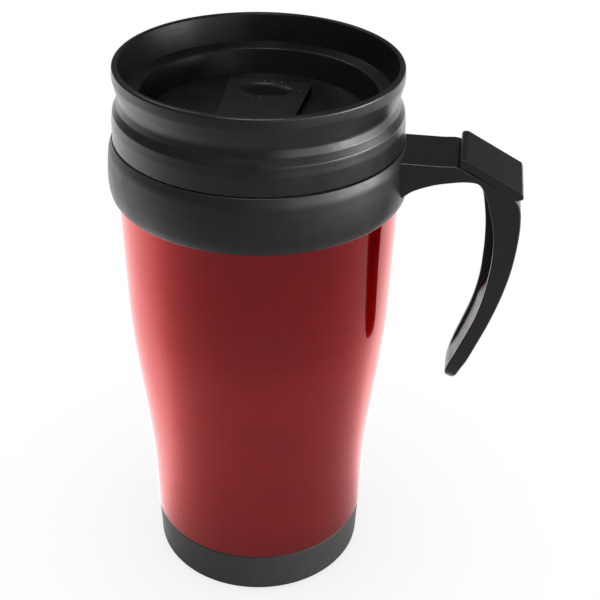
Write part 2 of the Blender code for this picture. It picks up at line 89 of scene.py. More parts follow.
COLLAR_SOCKET_R = 42.6
COLLAR_SHOULDER = (6.1, 7.9)    # heights above the collar's foot
COLLAR_SHOULDER_R = 39.6
COLLAR_BORE_R = 41.75
COLLAR_REBATE_R = 43.0
COLLAR_REBATE_T = 1.2
COLLAR_THREAD_CREST = 40.65
COLLAR_THREAD_TURNS = 1.25

THREAD_PITCH = 4.0
THREAD_START_Z = 148.6          # where the collar's and the plug's ridges both begin
THREAD_BITE = 0.4               # how far a thread's root is sunk into its wall
THREAD_HALF_ROOT = 1.15
THREAD_HALF_CREST = 0.45
THREAD_ROUND = 0.25
THREAD_FADE = 0.1               # turns over which a thread rises from its wall
THREAD_END = 0.15               # share of the full height that its ends keep

TONGUE_X = (43.5, 48.0)
TONGUE_Z = (147.3, 152.3)
TONGUE_HALF_Y = 6.0
ARM_TOP_Z = 154.6
HANDLE_SIDE_WALL = 2.2
HANDLE_SEAT = 0.06              # gap between the handle and the collar, too thin to be seen
CHANNEL_DEEP = (2.0, 3.5)       # the channel floor slants under the first depth and is flat from the second
CHANNEL_SHALLOW = (0.3, 0.9)    # depth of a slanting floor at its near and at its far side
PEG_X = (72.0, 76.0)
PEG_HALF_Y = 4.0
PEG_TOP_Z = 149.0

DECK = (159.7, 161.7)
DECK_R = 33.2
SIP_HALF_X = 6.5
SIP_Y = (-29.2, -24.2)
NECK_HALF_X = 2.0
NECK_Y = (-4.0, 8.0)
PLUG_R = 40.25
PLUG_INNER_R = 38.2
PLUG_FLOOR_T = 1.8
PLUG_FLANGE_Z = (157.2, 158.8)
PLUG_NECK_R = 40.0
PLUG_THREAD_CREST = 41.35
PLUG_THREAD_START_DEG = 180.0
PLUG_THREAD_TURNS = 1.0
PLUG_HOLES = ((-24.0, 9.0, 4.0), (22.0, 2.5, 2.5))    # centre y, half x, half y: pouring hole, vent
GASKET_INNER_R = 40.55

SLIDER_BOTTOM_Z = 162.0
SLIDER_HALF_FRONT = 9.8
SLIDER_TRAVEL = 8.0
SEAL_POCKET_Y = (-30.7, -22.7)
SEAL_POCKET_HALF_X = 8.0
SEAL_POCKET_T = 1.3
FINGER_Y = 14.4
FINGER_RADII = (8.6, 5.3)
FINGER_DEPTH = 1.7
FINGER_RISE = 0.12              # height of the ellipsoid's centre over the plate
DOT_RADIUS = 0.62
DOT_SQUASH = 0.65
DOT_SINK = 0.08

# The camera, in the frame of the mug. The handle is turned HANDLE_TURN degrees towards the viewer.
CAMERA_BACK = 333.0
CAMERA_HEIGHT = 305.9
CAMERA_PITCH = 32.17
CAMERA_YAW = 2.3
CAMERA_ROLL = 1.2
HANDLE_TURN = 10.0
CAMERA_LENS = 72.0
CAMERA_SENSOR = 36.0
MUG_MIDDLE = 90.0               # height that the softboxes aim at

# Name, degrees to the right of the camera, degrees up, distance, (width, height) and watts.
SOFTBOXES = [
    ("window_right", 77.0, 11.0, 750.0, (540.0, 160.0), 6.0),
    ("wall_right", 36.0, 13.0, 750.0, (480.0, 220.0), 1.1),
    ("ceiling_front", -5.0, 62.0, 800.0, (320.0, 120.0), 2.4),
    ("top_left", -130.0, 55.0, 800.0, (300.0, 200.0), 0.8),
]

# Looks of the pieces.
BLACK = 0.0075                  # base colour of the black plastics
EDGE_WEAR = 0.35                # width of the rubbed band along a plastic edge
EDGE_LIKENESS = (0.80, 0.985)   # how alike the rounded and the true normal are, at an edge and off it
SHARP_ANGLE = 35.0              # edges sharper than this keep their crease in the shading

# Looks of the floor and the room.
ROOM_GLOW = 0.15                # brightness of the room round the stage
FLOOR_RADIUS = 6000.0
FLOOR_DROP = 0.2                # keeps the floor clear of the foot pad
CONTACT_SHADOW = 90.0           # reach of the soft shadow under the mug
CONTACT_TONE = 0.84             # the floor's tone in the middle of that shadow
GLOW_AXIS = (-0.21, 0.0, 1.0)   # where the floor glows most, in camera axes with +Z into the picture
GLOW_STOPS = [(0.0, 0.17), (0.25, 0.21), (0.45, 0.36), (0.60, 0.66), (0.78, 0.90)]
GLOW_SCALE = (0.3, 2.0)         # in the contact shadow and on the open floor
GLOW_LIMIT = 1.8
CLOSE_GLOW = 1.5                # gain within the first radius of CLOSE_REACH, 1 beyond the second
CLOSE_REACH = (120.0, 210.0)
FADE_REACH = (450.0, 2400.0)    # radii between which the glow fades to the room's


# ---------------------------------------------------------------- meshes

def new_object(name, data):
    obj = bpy.data.objects.new(name, data)
    bpy.context.scene.collection.objects.link(obj)
    return obj


def freeze(obj):
    """Replaces an object's mesh by its evaluated one, so that no modifier is left on it."""
    bpy.context.view_layer.update()
    graph = bpy.context.evaluated_depsgraph_get()
    mesh = bpy.data.meshes.new_from_object(obj.evaluated_get(graph), depsgraph=graph)
    obj.modifiers.clear()
    obj.data = mesh
    return obj


def close_mesh(work, name):
    """Makes an object from a bmesh, welded and with its faces turned outwards."""
    bmesh.ops.remove_doubles(work, verts=work.verts, dist=WELD)
    bmesh.ops.dissolve_degenerate(work, edges=work.edges, dist=WELD)
    bmesh.ops.recalc_face_normals(work, faces=work.faces)
    mesh = bpy.data.meshes.new(name)
    work.to_mesh(mesh)
    work.free()
    return new_object(name, mesh)


def rounded(outline, closed=True, steps=ARC_STEPS):
    """Rounds the corners of an outline. A corner is (x, y) or (x, y, radius).

    Every corner that has a radius gives steps + 1 points, even where the outline hardly turns, so
    that the sections of a loft keep the same number of points.
    """
    points = []
    count = len(outline)
    for i, (x, y, *radius) in enumerate(outline):
        here = Vector((x, y))
        at_end = not closed and i in (0, count - 1)
        if at_end or not radius:
            points.append((x, y))
            continue
        before = Vector(outline[i - 1][:2]) - here
        after = Vector(outline[(i + 1) % count][:2]) - here
        sweep = math.pi - before.angle(after, math.pi)
        slope = math.tan(sweep / 2)
        if slope < 1e-3:
            points += [(x, y)] * (steps + 1)
            continue
        reach = min(radius[0] * slope, before.length * 0.49, after.length * 0.49)
        center = here + (before.normalized() + after.normalized()).normalized() * (
            reach / slope / math.cos(sweep / 2))
        first = here + before.normalized() * reach - center
        last = here + after.normalized() * reach - center
        turn = math.copysign(sweep, first.x * last.y - first.y * last.x)
        for k in range(steps + 1):
            cos, sin = math.cos(turn * k / steps), math.sin(turn * k / steps)
            points.append((center.x + first.x * cos - first.y * sin,
                           center.y + first.x * sin + first.y * cos))
    return points


def turned(name, profile):
    """Turns an outline of (radius, height) points about the Z axis. It may start and end on the axis."""
    closed = profile[0][0] > 0
    points = rounded(profile, closed)
    count = len(points)
    edges = [(i, i + 1) for i in range(count - 1)]
    if closed:
        edges.append((count - 1, 0))
    mesh = bpy.data.meshes.new(name)
    mesh.from_pydata([(r * MM, 0.0, z * MM) for r, z in points], edges, [])
    obj = new_object(name, mesh)
    screw = obj.modifiers.new("turn", "SCREW")
    screw.angle = math.tau
    screw.steps = SEG
    screw.render_steps = SEG
    screw.use_merge_vertices = True
    screw.merge_threshold = WELD
    freeze(obj)
    work = bmesh.new()
    work.from_mesh(obj.data)
    bpy.data.objects.remove(obj, do_unlink=True)
    return close_mesh(work, name)


def skin_rings(work, rings):
    """Joins equal rings of vertices into a tube and closes both of its ends."""
    count = len(rings[0])
    for ring, following in zip(rings, rings[1:]):
        for k in range(count):
            after = (k + 1) % count
            work.faces.new((ring[k], ring[after], following[after], following[k]))
    work.faces.new(rings[0])
    work.faces.new(rings[-1])


def prism(name, outline, low, high, upright=False):
    """Extrudes an (x, y) outline from height low to high, or an (x, z) outline along Y if upright."""
    work = bmesh.new()
    rings = []
    for level in (low, high):
        if upright:
            rings.append([work.verts.new((x * MM, level * MM, z * MM)) for x, z in outline])
        else:
            rings.append([work.verts.new((x * MM, y * MM, level * MM)) for x, y in outline])
    skin_rings(work, rings)
    return close_mesh(work, name)


def rectangle(x, y, radius=0.0):
    """A rectangle from x[0] to x[1] and y[0] to y[1]."""
    corners = [(x[0], y[0]), (x[1], y[0]), (x[1], y[1]), (x[0], y[1])]
    if radius:
        return rounded([(*corner, radius) for corner in corners])
    return corners


def ellipse(center_y, half_x, half_y, steps=64):
    angles = [math.tau * k / steps for k in range(steps)]
    return [(half_x * math.cos(angle), center_y + half_y * math.sin(angle)) for angle in angles]


def thread(name, crest, root, start_z, start_deg, turns):
    """A right-hand ridge of rounded section on a wall of radius root, fading in and out at its ends."""
    steps = round(turns * SEG)
    sunk = root + math.copysign(THREAD_BITE, root - crest)
    fade = SEG * THREAD_FADE
    work = bmesh.new()
    rings = []
    for i in range(steps + 1):
        full = min(1.0, THREAD_END + i / fade, THREAD_END + (steps - i) / fade)
        peak = root + (crest - root) * full
        section = rounded([(sunk, -THREAD_HALF_ROOT), (peak, -THREAD_HALF_CREST, THREAD_ROUND),
                           (peak, THREAD_HALF_CREST, THREAD_ROUND), (sunk, THREAD_HALF_ROOT)], steps=2)
        # Half a segment off the wall's own facets, so that no face of the ridge lies in a face of it.
        angle = math.radians(start_deg) + math.tau * (i + 0.5) / SEG
        cos, sin = math.cos(angle), math.sin(angle)
        rise = start_z + THREAD_PITCH * i / SEG
        rings.append([work.verts.new((r * MM * cos, r * MM * sin, (rise + z) * MM)) for r, z in section])
    skin_rings(work, rings)
    return close_mesh(work, name)


def boolean(target, tool, operation):
    """Adds a tool to a piece (UNION) or cuts it out (DIFFERENCE). The tool is used up."""
    modifier = target.modifiers.new(operation.lower(), "BOOLEAN")
    modifier.operation = operation
    modifier.solver = "EXACT"
    modifier.object = tool
    freeze(target)
    bpy.data.objects.remove(tool, do_unlink=True)
    return target


def soften(obj, width, segments=3):
    """Rounds the edges of an object that turn by more than 50 degrees."""
    bevel = obj.modifiers.new("edges", "BEVEL")
    bevel.width = width * MM
    bevel.segments = segments
    bevel.limit_method = "ANGLE"
    bevel.angle_limit = math.radians(50.0)
    return freeze(obj)


def span(node):
    """A CAD node's lowest and highest corner, in millimetres."""
    low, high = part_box(node)
    return low / MM, high / MM


# ---------------------------------------------------------------- node materials

class Shader:
    """A Principled material with short calls for the nodes that drive it."""

    def __init__(self, name):
        self.material = bpy.data.materials.new(name)
        self.material.use_nodes = True
        self.tree = self.material.node_tree
        self.surface = self.tree.nodes["Principled BSDF"]
        self.place = self.tree.nodes.new("ShaderNodeTexCoord").outputs["Object"]

    def node(self, kind, inputs=(), **settings):
        """Adds a node. An input, by name or number, is a value or another node's output."""
        made = self.tree.nodes.new(kind)
        for key, value in settings.items():
            setattr(made, key, value)
        for key, value in dict(inputs).items():
            self.feed(made.inputs[key], value)
        return made

    def feed(self, socket, value):
        if isinstance(value, bpy.types.NodeSocket):
            self.tree.links.new(value, socket)
        else:
            socket.default_value = value

    def set(self, **inputs):
        for key, value in inputs.items():
            self.feed(self.surface.inputs[key.replace("_", " ")], value)

    def noise(self, size, detail=3.0, stretch=(1.0, 1.0, 1.0)):
        """Noise with features of about size millimetres, drawn out along an axis by its stretch."""
        scale = [1.0 / (size * MM * s) for s in stretch]
        mapping = self.node("ShaderNodeMapping", {"Vector": self.place, "Scale": scale})
        texture = self.node("ShaderNodeTexNoise", {"Vector": mapping.outputs["Vector"], "Scale": 1.0,
                                                   "Detail": detail, "Roughness": 0.55})
        return texture.outputs["Fac"]

    def range(self, value, low, high, start=0.3, end=0.7):
        """Maps value from start..end to low..high."""
        return self.node("ShaderNodeMapRange", {"Value": value, "From Min": start, "From Max": end,
                                                "To Min": low, "To Max": high}).outputs["Result"]

    def colour(self, value, low, high, start=0.3, end=0.7):
        """Blends two colours as value goes from start to end."""
        share = self.range(value, 0.0, 1.0, start, end)
        return self.mix(share, low, high)

    def mix(self, share, low, high):
        """Blends two colours, each one (red, green, blue) or a socket."""
        inputs = {"Factor": share}
        for key, colour in ((6, low), (7, high)):
            inputs[key] = colour if isinstance(colour, bpy.types.NodeSocket) else (*colour, 1.0)
        return self.node("ShaderNodeMix", inputs, data_type="RGBA").outputs[2]

    def maths(self, operation, a, b):
        return self.node("ShaderNodeMath", {0: a, 1: b}, operation=operation).outputs["Value"]

    def dot(self, a, b):
        return self.node("ShaderNodeVectorMath", {0: a, 1: b}, operation="DOT_PRODUCT").outputs["Value"]

    def bump(self, height, depth, normal=None):
        """A bump whose full height is depth millimetres."""
        inputs = {"Height": height, "Distance": depth * MM, "Strength": 1.0}
        if normal:
            inputs["Normal"] = normal
        return self.node("ShaderNodeBump", inputs).outputs["Normal"]

    def height(self):
        """The point's height on the mug, in millimetres."""
        parts = self.node("ShaderNodeSeparateXYZ", {"Vector": self.place})
        return self.maths("DIVIDE", parts.outputs["Z"], MM)

    def level(self, vector, operation):
        """The direction (NORMALIZE) or LENGTH of a vector's horizontal part."""
        flat = self.node("ShaderNodeVectorMath", {0: vector, 1: (1.0, 1.0, 0.0)}, operation="MULTIPLY")
        made = self.node("ShaderNodeVectorMath", {0: flat.outputs["Vector"]}, operation=operation)
        return made.outputs["Value" if operation == "LENGTH" else "Vector"]

    def edges(self):
        """Near 1 at edges, where the surface turns within EDGE_WEAR millimetres, and 0 elsewhere."""
        softened = self.node("ShaderNodeBevel", {"Radius": EDGE_WEAR * MM}, samples=4).outputs["Normal"]
        surface = self.node("ShaderNodeNewGeometry").outputs["Normal"]
        return self.range(self.dot(softened, surface), 1.0, 0.0, *EDGE_LIKENESS)

    def facing_out(self):
        """1 where the surface faces away from the mug's axis, -1 where it faces the axis."""
        normal = self.node("ShaderNodeTexCoord").outputs["Normal"]
        return self.dot(self.level(self.place, "NORMALIZE"), normal)


def moulded_plastic(name, tone, roughness, grain=0.02, rings=0.0, painted_shade_below=0.0, painted_shade_inside=False):
    """Black polypropylene: fine spark grain, uneven gloss, rubbed edges and, if turned, faint tool rings.

    Below a given height, such as in a finger hollow, the surface reflects less: painted shade in the
    hollow.
    If asked, the walls that face the mug's axis also reflect less than the rest: painted shade inside the
    lid.
    """
    look = Shader(name)
    cloud = look.noise(9.0, detail=4.0)
    grit = look.noise(0.35, detail=2.0)
    edge = look.edges()
    body = look.colour(cloud, [tone * 0.85] * 3, [tone * 1.2] * 3)
    dusty = look.colour(look.noise(0.8, detail=5.0), [tone] * 3, [tone * 2.2] * 3, 0.62, 0.75)
    worn = look.mix(0.35, body, dusty)
    look.set(Base_Color=look.colour(edge, worn, [tone * 2.4] * 3, 0.0, 1.0))
    gloss = look.range(cloud, roughness - 0.05, roughness + 0.06)
    scuffs = look.range(look.noise(2.5, detail=6.0, stretch=(1.0, 1.0, 0.25)), 0.0, 0.07, 0.55, 0.75)
    look.set(Roughness=look.maths("ADD", gloss, scuffs), IOR=1.49)
    relief = look.bump(grit, grain)
    if rings:
        tooling = look.noise(1.1, detail=3.0, stretch=(400.0, 400.0, 1.0))
        relief = look.bump(tooling, rings, relief)
    look.set(Normal=relief)
    if painted_shade_below:
        # Painted shade: less specular reflection under the given height, as in a shaded hollow.
        look.set(Specular_IOR_Level=look.range(look.height(), 0.03, 0.5, painted_shade_below - 0.9, painted_shade_below))
    if painted_shade_inside:
        # Painted shade: less specular reflection on walls that face the mug's axis, as inside a shaded lid.
        look.set(Specular_IOR_Level=look.range(look.facing_out(), 0.2, 0.5, -0.7, -0.15))
    return look.material


def red_coated_metal(name, painted_shade_z):
    """Red metallic layer under a clear, glossy outer skin, with painted shade that darkens it below the two
    heights given.
    """
    look = Shader(name)
    cloud = look.noise(14.0, detail=3.0)
    flakes = look.noise(0.12, detail=1.0)
    red = look.colour(cloud, (0.32, 0.0045, 0.006), (0.37, 0.0060, 0.008))
    sparkle = look.colour(flakes, (0.28, 0.004, 0.006), (0.43, 0.008, 0.009), 0.35, 0.65)
    flaked = look.mix(0.4, red, sparkle)
    # Painted shade: the red fades to a darker red between the two heights given, darkest at the lower one.
    red_with_painted_shade = look.colour(look.height(), (0.27, 0.005, 0.007), flaked, *painted_shade_z)
    look.set(Base_Color=red_with_painted_shade, Metallic=1.0, Specular_Tint=(1.0, 0.08, 0.06, 1.0))
    look.set(Roughness=look.range(cloud, 0.26, 0.32), Normal=look.bump(flakes, 0.004))
    peel = look.bump(look.noise(5.0, detail=1.0), 0.004)
    look.set(Coat_Weight=0.85, Coat_IOR=1.48, Coat_Normal=peel)
    specks = look.range(look.noise(0.9, detail=6.0), 0.02, 0.16, 0.66, 0.80)
    look.set(Coat_Roughness=specks)
    return look.material


def turned_steel(name):
    """Drawn steel with fine rings round the axis."""
    look = Shader(name)
    rings = look.noise(0.25, detail=3.0, stretch=(120.0, 120.0, 1.0))
    cloud = look.noise(12.0, detail=3.0)
    look.set(Base_Color=look.colour(cloud, (0.50, 0.49, 0.48), (0.62, 0.61, 0.60)), Metallic=1.0)
    look.set(Roughness=look.range(rings, 0.22, 0.38), Normal=look.bump(rings, 0.004))
    return look.material


def soft_rubber(name, tone, roughness):
    """Silicone or rubber: matt, faintly mottled, with fine pores."""
    look = Shader(name)
    cloud = look.noise(4.0, detail=4.0)
    pores = look.noise(0.3, detail=2.0)
    look.set(Base_Color=look.colour(cloud, [tone * 0.88] * 3, [tone * 1.08] * 3))
    look.set(Roughness=look.range(cloud, roughness - 0.06, roughness + 0.08))
    look.set(Normal=look.bump(pores, 0.02), IOR=1.42)
    return look.material


# ---------------------------------------------------------------- pieces of the mug body

def foot_pad(name):
    """A rubber disc with shallow ring grooves in its sole."""
    low, high = span("base_foot_pad")
    outer = high.x
    profile = [(0, high.z), (outer, high.z, 0.3), (outer, low.z, 0.5)]
    land, groove = outer / 7.5, outer / 16
    edge = outer - land
    roof = low.z + SOLE_GROOVE_DEPTH
    for _ in range(SOLE_GROOVES):
        profile += [(edge, low.z, 0.15), (edge, roof, 0.15),
                    (edge - groove, roof, 0.15), (edge - groove, low.z, 0.15)]
        edge -= land + groove
    return turned(name, [*profile, (0, low.z)])


def base_cup(name):
    """The black cup round the foot, with a recess for the foot pad in its underside."""
    low, high = span("base_cap")
    pad = span("base_foot_pad")[1]
    outer = high.x
    floor = (pad.z + GAP, pad.z + GAP + BASE_FLOOR_T)
    pocket = pad.x + GAP
    profile = [
        (0, floor[1]),
        (outer - BASE_WALL, floor[1], 0.6),
        (outer - BASE_WALL, high.z, 0.3),
        (outer, high.z, 0.35),
        (outer - 0.6, low.z, BASE_ROUND),
        (pocket, low.z, 0.5),
        (pocket, floor[0], 0.4),
        (0, floor[0]),
    ]
    return turned(name, profile)


def shell_radius(z, seat):
    """The body's radius: a slow taper below, an S curve in the middle, nearly straight above."""
    start, end = SHELL_SWELL_Z
    t = min(max((z - start) / (end - start), 0.0), 1.0)
    return SHELL_R_LOW + SHELL_SLOPE * (z - seat) + SHELL_SWELL * t * t * (3 - 2 * t)


def body_shell(name):
    """The red cup. Its foot plugs into the base and its mouth into the collar."""
    low, high = span("outer_shell")
    seat = span("base_cap")[1].z
    lip = span("collar_ring")[0].z - GAP
    foot = span("base_cap")[1].x - BASE_WALL - GAP
    start = seat + GAP
    heights = [start + (lip - start) * i / SHELL_RINGS for i in range(SHELL_RINGS + 1)]
    outside = [(shell_radius(z, seat), z) for z in reversed(heights)]
    inside = [(shell_radius(z, seat) - SHELL_WALL, z) for z in heights if z > start + SHELL_FOOT_STEP]
    outside[0] = (*outside[0], 0.3)
    outside[-1] = (*outside[-1], 0.35)
    mouth = SHELL_SPIGOT_R
    profile = [
        (0, low.z + SHELL_FLOOR_T),
        (foot - SHELL_WALL, low.z + SHELL_FLOOR_T, 1.0),
        (foot - SHELL_WALL, start),
        *inside,
        (mouth - SHELL_WALL, lip + SHELL_STEP),
        (mouth - SHELL_WALL, high.z, 0.2),
        (mouth, high.z, 0.2),
        (mouth, lip),
        *outside,
        (foot, start),
        (foot, low.z, 1.0),
        (0, low.z),
    ]
    return turned(name, profile)


def steel_liner(name):
    """The steel cup, a cone below and a cylinder above, with a flange that hangs in the collar."""
    low, high = span("inner_liner")
    inner = LINER_R_TOP - LINER_WALL
    profile = [
        (0, low.z + LINER_WALL),
        (LINER_R_BOTTOM - LINER_WALL - 0.3, low.z + LINER_WALL, LINER_CORNER - LINER_WALL),
        (inner, LINER_STRAIGHT_Z, LINER_BEND),
        (inner, high.z, 0.5),
        (high.x, high.z, 0.15),
        (high.x, high.z - LINER_WALL, 0.15),
        (inner + LINER_WALL, high.z - LINER_WALL, 0.2),
        (inner + LINER_WALL, LINER_STRAIGHT_Z, LINER_BEND),
        (LINER_R_BOTTOM, low.z, LINER_CORNER),
        (0, low.z),
    ]
    return turned(name, profile)


def liner_gasket(name):
    """The ring under the liner's flange, with a V groove in its sole."""
    low, high = span("liner_seal")
    inner = high.x - SHELL_WALL
    middle = (high.x + inner) / 2
    profile = [(high.x, high.z, 0.25), (high.x, low.z, 0.25), (middle + 0.3, low.z, 0.15),
               (middle, low.z + 0.25, 0.15), (middle - 0.3, low.z, 0.15), (inner, low.z, 0.25),
               (inner, high.z, 0.25)]
    return turned(name, profile)


def barrel(seam, bottom, widest, grow=0.0):
    """The collar's outer side from the seam down to its lower lip, widest below its middle."""
    side = [
        (-1.75, seam, 0.35),
        (-0.75, seam - 2.8, 9.0),
        (-0.25, seam - 7.0, 30.0),
        (0.0, seam - 11.6, 30.0),
        (-0.25, bottom + 2.7, 9.0),
        (-0.75, bottom + 0.8, 2.0),
        (-1.45, bottom, 0.6),
    ]
    return [(widest + grow + r, z, radius) for r, z, radius in side]


def collar(name):
    """Barrel ring with a socket for the shell, a thread for the lid and a pocket for the handle."""
    low, high = span("collar_ring")
    seam = high.z
    shoulder_low, shoulder_high = (low.z + rise for rise in COLLAR_SHOULDER)
    rebate = seam - COLLAR_REBATE_T
    profile = [
        *barrel(seam, low.z, high.x),
        (COLLAR_SOCKET_R, low.z, 0.3),
        (COLLAR_SOCKET_R, shoulder_low, 0.3),
        (COLLAR_SHOULDER_R, shoulder_low, 0.3),
        (COLLAR_SHOULDER_R, shoulder_high, 0.3),
        (COLLAR_BORE_R, shoulder_high, 0.3),
        (COLLAR_BORE_R, rebate, 0.2),
        (COLLAR_REBATE_R, rebate, 0.2),
        (COLLAR_REBATE_R, seam, 0.25),
    ]
    ring = turned(name, profile)
    ridge = thread("ridge", COLLAR_THREAD_CREST, COLLAR_BORE_R, THREAD_START_Z, 0.0, COLLAR_THREAD_TURNS)
    boolean(ring, ridge, "UNION")
    return boolean(ring, tongue("pocket", GAP), "DIFFERENCE")


def tongue(name, clearance=0.0):
    """The handle's tongue, or with a clearance the pocket that it goes into."""
    side = rectangle((TONGUE_X[0] - clearance, TONGUE_X[1]),
                     (TONGUE_Z[0] - clearance, TONGUE_Z[1] + clearance))
    half = TONGUE_HALF_Y + clearance
    return prism(name, side, -half, half, upright=True)


# ---------------------------------------------------------------- handle and thumb rest

def handle_stations():
    """(inner point, outer point, half width, channel depth, skew) from the collar to the tip.

    The points are (x, z). The skew is how much further the channel's far rim stands in towards the
    mug than its near rim.
    """
    top = ARM_TOP_Z
    return [
        ((42.0, 140.6), (42.0, top), 10.8, 0.0, 0.0),
        ((45.9, 144.3), (46.8, top), 10.8, 0.0, 0.0),
        ((48.6, 146.1), (50.0, top), 10.8, 3.0, 0.0),
        ((53.6, 148.1), (55.0, top), 10.8, 2.4, 0.0),
        ((58.7, 149.3), (60.2, top), 10.8, 0.0, 0.0),
        ((62.8, 149.9), (66.0, 151.75), 10.7, 0.0, 0.0),
        ((66.2, 149.5), (72.0, 148.65), 10.6, 0.0, 0.8),
        ((68.0, 145.8), (77.4, 145.75), 10.5, 0.0, 2.0),
        ((69.2, 141.2), (79.4, 142.2), 10.3, 0.0, 2.6),
        ((70.5, 136.2), (80.1, 136.4), 10.1, 4.6, 2.8),
        ((71.5, 129.6), (80.0, 130.0), 9.8, 4.4, 2.6),
        ((71.8, 123.4), (79.5, 123.4), 9.4, 4.2, 2.3),
        ((71.6, 117.0), (78.5, 116.6), 9.0, 3.7, 1.8),
        ((70.9, 109.4), (76.7, 108.4), 8.4, 2.8, 1.2),
        ((69.2, 101.0), (74.1, 99.4), 7.8, 1.6, 0.8),
        ((66.6, 93.0), (71.1, 90.8), 7.3, 0.9, 0.5),
        ((64.5, 87.0), (68.9, 84.8), 7.0, 0.7, 0.3),
        ((63.0, 82.4), (67.1, 80.8), 6.4, 0.0, 0.0),
        ((62.2, 78.8), (66.0, 77.6), 5.2, 0.0, 0.0),
        ((62.4, 76.4), (65.0, 75.4), 3.2, 0.0, 0.0),
    ]


def catmull_rom(p, q, r, s, t):
    """The value at share t of the way from q to r, with p before them and s after them."""
    return q + 0.5 * t * (r - p + t * (2 * p - 5 * q + 4 * r - s + t * (3 * (q - r) + s - p)))


def fill_between(rows, steps):
    """Fills in Catmull-Rom values between rows of numbers, in so many steps from each row to the next."""
    filled = []
    last = len(rows) - 1
    for i in range(last):
        a, b, c, d = rows[max(i - 1, 0)], rows[i], rows[i + 1], rows[min(i + 2, last)]
        for k in range(steps):
            t = k / steps
            filled.append([catmull_rom(p, q, r, s, t) for p, q, r, s in zip(a, b, c, d)])
    filled.append(rows[-1])
    return filled


def handle_section(row):
    """The channel's section at one station, as points in the frame.

    A deep channel has a flat floor. A shallow one has a floor that slants, as its rims do.
    """
    inner_x, inner_z, outer_x, outer_z, half, depth, skew = row
    low = Vector((inner_x, inner_z))
    high = Vector((outer_x, outer_z))
    thick = (high - low).length
    across = (high - low) / thick
    depth = max(depth, 0.0)
    web = half - min(HANDLE_SIDE_WALL, half / 2)
    slanting, flat = CHANNEL_DEEP
    deep = min(max((depth - slanting) / (flat - slanting), 0.0), 1.0)
    near_floor = skew / 2 + min(depth, CHANNEL_SHALLOW[0])
    far_floor = -skew / 2 + min(depth, CHANNEL_SHALLOW[1])
    near_floor += (max(depth, near_floor) - near_floor) * deep
    far_floor += (max(depth, far_floor) - far_floor) * deep
    outer_round = min(0.7, half / 3, thick / 3)
    rim_round = min(0.45, half / 6)
    corners = [
        (-skew / 2, half, rim_round), (thick, half, outer_round), (thick, -half, outer_round),
        (skew / 2, -half, rim_round), (skew / 2, -web, rim_round), (near_floor, -web, 0.6),
        (far_floor, web, 0.6), (-skew / 2, web, rim_round),
    ]
    points = []
    for a, y in rounded(corners):
        at = low + across * a
        points.append((at.x, y, at.y))
    return points


def tip_rows(last):
    """Two smaller stations past the last one, which round the handle's tip."""
    middle = [(last[0] + last[2]) / 2, (last[1] + last[3]) / 2] * 2
    rows = []
    for share in (0.85, 0.6):
        drop = (1 - share) * 1.2
        row = [m + (value - m) * share for m, value in zip(middle, last)]
        rows.append([row[0], row[1] - drop, row[2], row[3] - drop, last[4] * share, 0.0, 0.0])
    return rows


def grip(name):
    """The C handle: a channel open towards the mug, closed and rounded at its tip."""
    rows = [[*inner, *outer, half, depth, skew] for inner, outer, half, depth, skew in handle_stations()]
    rows = fill_between(rows, 6)
    rows += tip_rows(rows[-1])
    work = bmesh.new()
    rings = []
    for row in rows:
        rings.append([work.verts.new((x * MM, y * MM, z * MM)) for x, y, z in handle_section(row)])
    skin_rings(work, rings)
    piece = close_mesh(work, name)
    low, high = span("collar_ring")
    side = barrel(high.z, low.z, high.x, HANDLE_SEAT)
    above, below = high.z + 4.0, low.z - 8.0
    seat = [(0, above), (side[0][0], above), *side, (side[-1][0], below), (0, below)]
    boolean(piece, turned("seat", seat), "DIFFERENCE")
    boolean(piece, tongue("tongue"), "UNION")
    hole = rectangle((PEG_X[0] - GAP, PEG_X[1] + GAP), (-PEG_HALF_Y - GAP, PEG_HALF_Y + GAP))
    bottom = span("thumb_rest")[0].z - GAP
    return boolean(piece, prism("hole", hole, bottom, ARM_TOP_Z + OVERSHOOT), "DIFFERENCE")


def thumb_plate(name):
    """Sloping plate over the handle's corner, with soft edges and a peg down into the handle."""
    low, high = span("thumb_rest")
    bottom = ARM_TOP_Z + 0.08
    side = rounded([
        (low.x, bottom),
        (low.x, high.z - 0.2, 1.3),
        (low.x + 1.9, high.z - 0.1, 1.6),
        (high.x - 0.8, high.z - 9.2, 1.0),
        (high.x, high.z - 11.3, 0.9),
        (high.x - 2.3, high.z - 11.9, 0.3),
        (low.x + 4.2, bottom - 2.0),
    ])
    plate = soften(prism(name, side, low.y, high.y, upright=True), 0.7, 4)
    peg = prism("peg", rectangle(PEG_X, (-PEG_HALF_Y, PEG_HALF_Y), 0.4), low.z, PEG_TOP_Z)
    return boolean(plate, peg, "UNION")


# ---------------------------------------------------------------- lid

def lid_moulding(name):
    """Skirt, grip groove, drinking rim, ledge and deck, with the sip hole and the slider's slot."""
    low, high = span("lid_body")
    top = high.z
    skirt = low.z
    profile = [
        (0, DECK[1]),
        (DECK_R, DECK[1]),
        (35.4, 169.5, 0.9),
        (39.4, 170.25),
        (41.0, top, 0.75),
        (42.8, top, 0.95),
        (43.0, 175.6, 4.0),
        (42.2, 172.2, 3.0),
        (41.45, 169.7, 2.2),
        (42.1, 167.2, 3.0),
        (43.35, 164.95, 1.6),
        (43.75, 162.0, 6.0),
        (43.9, skirt, 0.35),
        (42.9, skirt, 0.25),
        (42.9, 159.1, 0.2),
        (41.6, 159.1, 0.2),
        (41.6, 164.0, 1.0),
        (39.8, 168.2, 0.6),
        (36.6, 168.2, 0.5),
        (35.2, DECK[0], 1.2),
        (0, DECK[0]),
    ]
    body = turned(name, profile)
    mouth = rectangle((-SIP_HALF_X, SIP_HALF_X), SIP_Y, 2.0)
    slot = rectangle((-NECK_HALF_X - GAP, NECK_HALF_X + GAP),
                     (NECK_Y[0] - GAP, NECK_Y[1] + SLIDER_TRAVEL + GAP), 1.0)
    for opening in (mouth, slot):
        tool = prism("opening", opening, DECK[0] - OVERSHOOT, DECK[1] + OVERSHOOT)
        boolean(body, tool, "DIFFERENCE")
    return body


